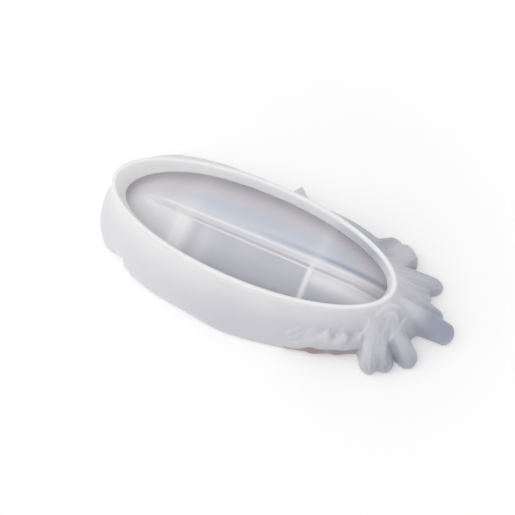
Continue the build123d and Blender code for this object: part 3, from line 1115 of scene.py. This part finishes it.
@dataclass(frozen=True)
class SiliconeFinish:
    """Satin milky silicone, whiter where it is thick and bluish where it is thin, its colour carrying stored painted
    light and shade and a painted glow.
    """

    zone: Zone
    tones: tuple = ((0.0, (0.45, 0.455, 0.53)), (0.30, (0.665, 0.665, 0.712)), (0.60, (0.80, 0.797, 0.825)),
                    (0.85, (0.88, 0.878, 0.892)), (1.0, (0.965, 0.965, 0.97)))
    # Colour of the warm tint and painted shade.
    warm_and_shade_tone: tuple = (0.38, 0.29, 0.30)
    # Tint for thin silicone and painted shade.
    cool_and_shade_tint: tuple = (0.86, 0.93, 1.02)
    cloud_scale: float = 45.0
    cloud_share: float = 0.14
    satin_scale: float = 160.0
    roughness: tuple = (0.30, 0.44)
    grain_scale: float = 700.0
    grain_strength: float = 0.10
    grain_depth: float = 0.0003
    weight: float = 0.8
    scatter: float = 0.0028
    scatter_tint: tuple = (1.0, 0.94, 0.92)
    # Strength of the painted glow, and its colour.
    painted_glow: float = 0.12
    painted_glow_colour: tuple = (1.0, 0.955, 0.965)
    bend: float = 1.41

    def material(self) -> bpy.types.Material:
        """Build the finish.

        Returns:
            A material that reads the stored milkiness with its painted light and shade, the warm tint and painted
            shade, the cool tint and the painted glow.
        """
        made = bpy.data.materials.new(f"silicone_{self.zone.value}")
        made.use_nodes = True
        tree = made.node_tree
        place = add_node(tree, "ShaderNodeTexCoord", {}).outputs["Object"]
        shader = tree.nodes["Principled BSDF"]
        tree.links.new(self.colour(tree, place), shader.inputs["Base Color"])
        tree.links.new(self.satin(tree, place), shader.inputs["Roughness"])
        tree.links.new(self.grain(tree, place), shader.inputs["Normal"])
        # Painted glow: emission from the stored amount, though the mould is no lamp.
        tree.links.new(calculate(tree, "MULTIPLY", self.mask(tree, "painted_glow"), self.painted_glow),
                       shader.inputs["Emission Strength"])
        shader.inputs["Emission Color"].default_value = (*self.painted_glow_colour, 1.0)
        shader.inputs["IOR"].default_value = self.bend
        shader.inputs["Subsurface Weight"].default_value = self.weight
        shader.inputs["Subsurface Radius"].default_value = self.scatter_tint
        shader.inputs["Subsurface Scale"].default_value = self.scatter
        return made

    def colour(self, tree: bpy.types.NodeTree, place: bpy.types.NodeSocket) -> bpy.types.NodeSocket:
        """Tone the silicone by its milkiness and painted light and shade, slightly clouded, then mix in the warm
        tint and painted shade and the cool tint of thin silicone and painted shade.

        Args:
            tree: The material's nodes.
            place: Object coordinates.

        Returns:
            The colour.
        """
        clouds = self.noise(tree, place, self.cloud_scale, 3.0)
        stirred = calculate(tree, "MULTIPLY_ADD", clouds, self.cloud_share, self.mask(tree, "milk_and_shade"))
        settled = calculate(tree, "SUBTRACT", stirred, self.cloud_share / 2)
        tone = add_node(tree, "ShaderNodeValToRGB", {"Fac": settled})
        stops = tone.color_ramp.elements
        while len(stops) < len(self.tones):
            stops.new(0.5)
        for stop, (at, colour) in zip(stops, self.tones):
            stop.position, stop.color = at, (*colour, 1.0)
        # Mix in the warm tint and painted shade, then the cool tint of thin silicone and painted shade.
        warmed_and_shaded = self.blend(tree, self.mask(tree, "warm_and_shade"), tone.outputs["Color"], (*self.warm_and_shade_tone, 1.0), "MIX")
        tinted = self.blend(tree, 1.0, warmed_and_shaded, (*self.cool_and_shade_tint, 1.0), "MULTIPLY")
        return self.blend(tree, self.mask(tree, "cool_and_shade"), warmed_and_shaded, tinted, "MIX")

    def satin(self, tree: bpy.types.NodeTree, place: bpy.types.NodeSocket) -> bpy.types.NodeSocket:
        """Vary the roughness a little over the surface.

        Args:
            tree: The material's nodes.
            place: Object coordinates.

        Returns:
            The roughness.
        """
        low, high = self.roughness
        noise = self.noise(tree, place, self.satin_scale, 2.0)
        spread = add_node(tree, "ShaderNodeMapRange", {"Value": noise, "To Min": low, "To Max": high})
        return spread.outputs["Result"]

    def grain(self, tree: bpy.types.NodeTree, place: bpy.types.NodeSocket) -> bpy.types.NodeSocket:
        """Return normals with the fine grain of a cast surface."""
        noise = self.noise(tree, place, self.grain_scale, 2.0)
        return add_node(tree, "ShaderNodeBump", {"Strength": self.grain_strength, "Distance": self.grain_depth,
                                                 "Height": noise}).outputs["Normal"]

    @staticmethod
    def blend(tree: bpy.types.NodeTree, share: object, one: object, other: object, way: str) -> bpy.types.NodeSocket:
        """Mix two colours.

        Args:
            tree: The material's nodes.
            share: How much of the other colour, as a socket or a number.
            one: First colour.
            other: Second colour.
            way: The node's blend type.

        Returns:
            The mixed colour.
        """
        return add_node(tree, "ShaderNodeMix", {"Factor": share, 6: one, 7: other}, data_type="RGBA",
                        blend_type=way).outputs[2]

    @staticmethod
    def noise(tree: bpy.types.NodeTree, place: bpy.types.NodeSocket, scale: float,
              detail: float) -> bpy.types.NodeSocket:
        """Return noise in object space, its scale given per metre."""
        inputs = {"Scale": scale, "Detail": detail, "Vector": place}
        return add_node(tree, "ShaderNodeTexNoise", inputs).outputs["Fac"]

    @staticmethod
    def mask(tree: bpy.types.NodeTree, name: str) -> bpy.types.NodeSocket:
        """Return a stored attribute as a number."""
        return add_node(tree, "ShaderNodeAttribute", {}, attribute_name=name).outputs["Fac"]


@dataclass(frozen=True)
class Lamp:
    """Square area lamp that faces the mould, in metres and watts."""

    name: str
    at: tuple
    size: float
    power: float

    def hang(self) -> None:
        """Hang the lamp in the scene."""
        data = bpy.data.lights.new(self.name, "AREA")
        data.size = self.size
        data.energy = self.power
        lamp = bpy.data.objects.new(self.name, data)
        lamp.location = self.at
        lamp.rotation_euler = (-Vector(self.at)).to_track_quat("-Z", "Y").to_euler()
        bpy.context.scene.collection.objects.link(lamp)


@dataclass
class Studio:
    """Pale floor, soft light and the camera."""

    azimuth: float = 24.07
    elevation: float = 69.55
    distance: float = 0.610
    lens: float = 66.97
    sensor: float = 36.0
    aim: tuple = (-0.01055, -0.00539, 0.02033)
    floor_reach: float = 3.0
    floor_drop: float = 0.0002
    floor_tone: float = 0.95
    floor_roughness: float = 0.9
    floor_lift: float = 0.17
    white_ring: tuple = (0.10, 0.20)
    surroundings: float = 0.64
    lamps: tuple = (Lamp("key", (-0.80, -0.45, 0.85), 1.0, 2.5), Lamp("top", (-0.15, -0.20, 1.2), 0.8, 2.4))

    def camera(self) -> None:
        """Place the camera and make it the scene's."""
        data = bpy.data.cameras.new("camera")
        data.lens = self.lens
        data.sensor_width = self.sensor
        eye = bpy.data.objects.new("camera", data)
        turn, tilt = math.radians(self.azimuth), math.radians(self.elevation)
        back = Vector((math.sin(turn) * math.cos(tilt), -math.cos(turn) * math.cos(tilt), math.sin(tilt)))
        aim = Vector(self.aim)
        eye.location = aim + back * self.distance
        eye.rotation_euler = (aim - eye.location).to_track_quat("-Z", "Y").to_euler()
        bpy.context.scene.collection.objects.link(eye)
        bpy.context.scene.camera = eye

    def floor(self) -> None:
        """Lay a pale floor."""
        mesh = bpy.data.meshes.new("floor")
        reach = self.floor_reach
        corners = [(-reach, -reach, 0), (reach, -reach, 0), (reach, reach, 0), (-reach, reach, 0)]
        mesh.from_pydata(corners, [], [(0, 1, 2, 3)])
        plane = bpy.data.objects.new("floor", mesh)
        plane.location.z = -self.floor_drop
        bpy.context.scene.collection.objects.link(plane)
        mesh.materials.append(self.floor_paint())
        plane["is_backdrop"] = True

    def floor_paint(self) -> bpy.types.Material:
        """Build the floor's material, which runs to white away from the mould.

        Returns:
            The material.
        """
        paint = bpy.data.materials.new("floor")
        paint.use_nodes = True
        tree = paint.node_tree
        seen = self.seen(tree)
        shader = tree.nodes["Principled BSDF"]
        shader.inputs["Base Color"].default_value = (self.floor_tone,) * 3 + (1.0,)
        shader.inputs["Roughness"].default_value = self.floor_roughness
        shader.inputs["Specular IOR Level"].default_value = 0.0
        shader.inputs["Emission Color"].default_value = (1.0, 1.0, 1.0, 1.0)
        tree.links.new(calculate(tree, "MULTIPLY", seen, self.floor_lift), shader.inputs["Emission Strength"])
        white = add_node(tree, "ShaderNodeEmission", {})
        place = add_node(tree, "ShaderNodeTexCoord", {})
        away = add_node(tree, "ShaderNodeVectorMath", {0: place.outputs["Object"]}, operation="LENGTH")
        start, full = self.white_ring
        fade = add_node(tree, "ShaderNodeMapRange",
                        {"Value": away.outputs["Value"], "From Min": start, "From Max": full},
                        interpolation_type="SMOOTHSTEP")
        share = calculate(tree, "MULTIPLY", fade.outputs["Result"], seen)
        mix = add_node(tree, "ShaderNodeMixShader",
                       {"Fac": share, 1: shader.outputs["BSDF"], 2: white.outputs["Emission"]})
        tree.links.new(mix.outputs["Shader"], tree.nodes["Material Output"].inputs["Surface"])
        return paint

    @staticmethod
    def seen(tree: bpy.types.NodeTree) -> bpy.types.NodeSocket:
        """Add nodes that are 1 for camera, glossy and transmission rays.

        Args:
            tree: Node tree of the floor or the world.

        Returns:
            The socket that says so.
        """
        path = add_node(tree, "ShaderNodeLightPath", {}).outputs
        looked_at = calculate(tree, "MAXIMUM", path["Is Camera Ray"], path["Is Glossy Ray"])
        return calculate(tree, "MAXIMUM", looked_at, path["Is Transmission Ray"])

    def world(self) -> None:
        """Set even pale surroundings, which look white."""
        sky = bpy.data.worlds.new("world")
        sky.use_nodes = True
        tree = sky.node_tree
        light = tree.nodes["Background"]
        light.inputs["Color"].default_value = (1.0, 1.0, 1.0, 1.0)
        light.inputs["Strength"].default_value = self.surroundings
        shown = add_node(tree, "ShaderNodeBackground", {"Strength": 1.0})
        mix = add_node(tree, "ShaderNodeMixShader", {"Fac": self.seen(tree), 1: light.outputs["Background"],
                                                     2: shown.outputs["Background"]})
        tree.links.new(mix.outputs["Shader"], tree.nodes["World Output"].inputs["Surface"])
        bpy.context.scene.world = sky

    def build(self) -> None:
        """Set up the whole studio."""
        self.camera()
        self.floor()
        self.world()
        for lamp in self.lamps:
            lamp.hang()
        bpy.context.scene.view_settings.view_transform = "Standard"


def place(piece: bpy.types.Object, finish: bpy.types.Material, *nodes: str) -> None:
    """Dress a piece and let it stand for its CAD nodes.

    Args:
        piece: The new object.
        finish: Its material.
        nodes: CAD nodes that it stands for.
    """
    piece.data.materials.append(finish)
    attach(piece, BODY)
    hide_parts(*nodes)
    log.info("%s stands for %s", piece.name, ", ".join(nodes))


def main() -> None:
    """Build the mould and its studio."""
    logging.basicConfig(level=logging.INFO)
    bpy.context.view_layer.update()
    form = MouldForm()
    outside, core = form.outside(), form.core()
    skin, dome, ribs = OuterSkin(form), CoreDome(form), Ribs(form)
    piece = form.grid.surface("outer_skin", skin.shape(outside, core))
    skin.dress(piece)
    place(piece, SiliconeFinish(Zone.SKIN, scatter=SKIN_SCATTER).material(), "pour_collar", "vane_shell",
          "trough_floor", "quill_pocket", "near_tuft_pair", "near_tuft", "far_tuft", "far_tuft_stub")
    piece = form.grid.surface("core_dome_shell", dome.shape(core))
    dome.dress(piece)
    place(piece, SiliconeFinish(Zone.CORE).material(), "core_dome")
    finish = SiliconeFinish(Zone.RIB).material()
    for name, values in ribs.shapes(core).items():
        piece = form.grid.surface(f"{name}_form", values)
        ribs.dress(piece)
        place(piece, finish, name)
    Studio().build()


if __name__ == "__main__":
    main()
